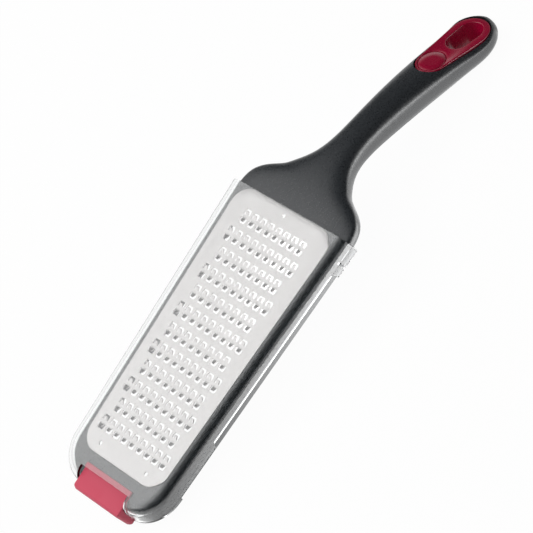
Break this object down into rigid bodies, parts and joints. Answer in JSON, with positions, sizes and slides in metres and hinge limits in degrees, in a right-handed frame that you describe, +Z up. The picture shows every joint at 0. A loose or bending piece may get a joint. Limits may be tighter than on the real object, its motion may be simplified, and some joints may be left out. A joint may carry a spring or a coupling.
{
  "type": "rasp zester",
  "caption": "Hand grater with a punched two-way plate in a charcoal frame, a red soft foot, a red plate round its hanging hole and a clear slide-on cover",
  "frame": {"origin": "middle of the foot's sole, the flat face that rests on the board", "axes": "+X along the tool from the tip to the grip, +Z up out of the toothed side, +Y across to the left of the grip"},
  "size_m": [0.2696, 0.0776, 0.0442],
  "materials": {
    "charcoal_plastic": "fine grain satin",
    "stainless_sheet": "satin",
    "red_rubber": "matt",
    "red_plastic": "satin gloss",
    "clear_plastic": "clear gloss"
  },
  "bodies": {
    "grater": {"handle_frame": "charcoal_plastic", "grater_plate": "stainless_sheet", "tip_foot": "red_rubber", "hang_insert": "red_plastic"},
    "cover": {"blade_cover": "clear_plastic"}
  },
  "joints": [
    {"name": "cover_slide", "type": "slide", "parent": "grater", "child": "cover", "axis": [-1, 0, 0], "range_m": [0, 0.155]}
  ]
}
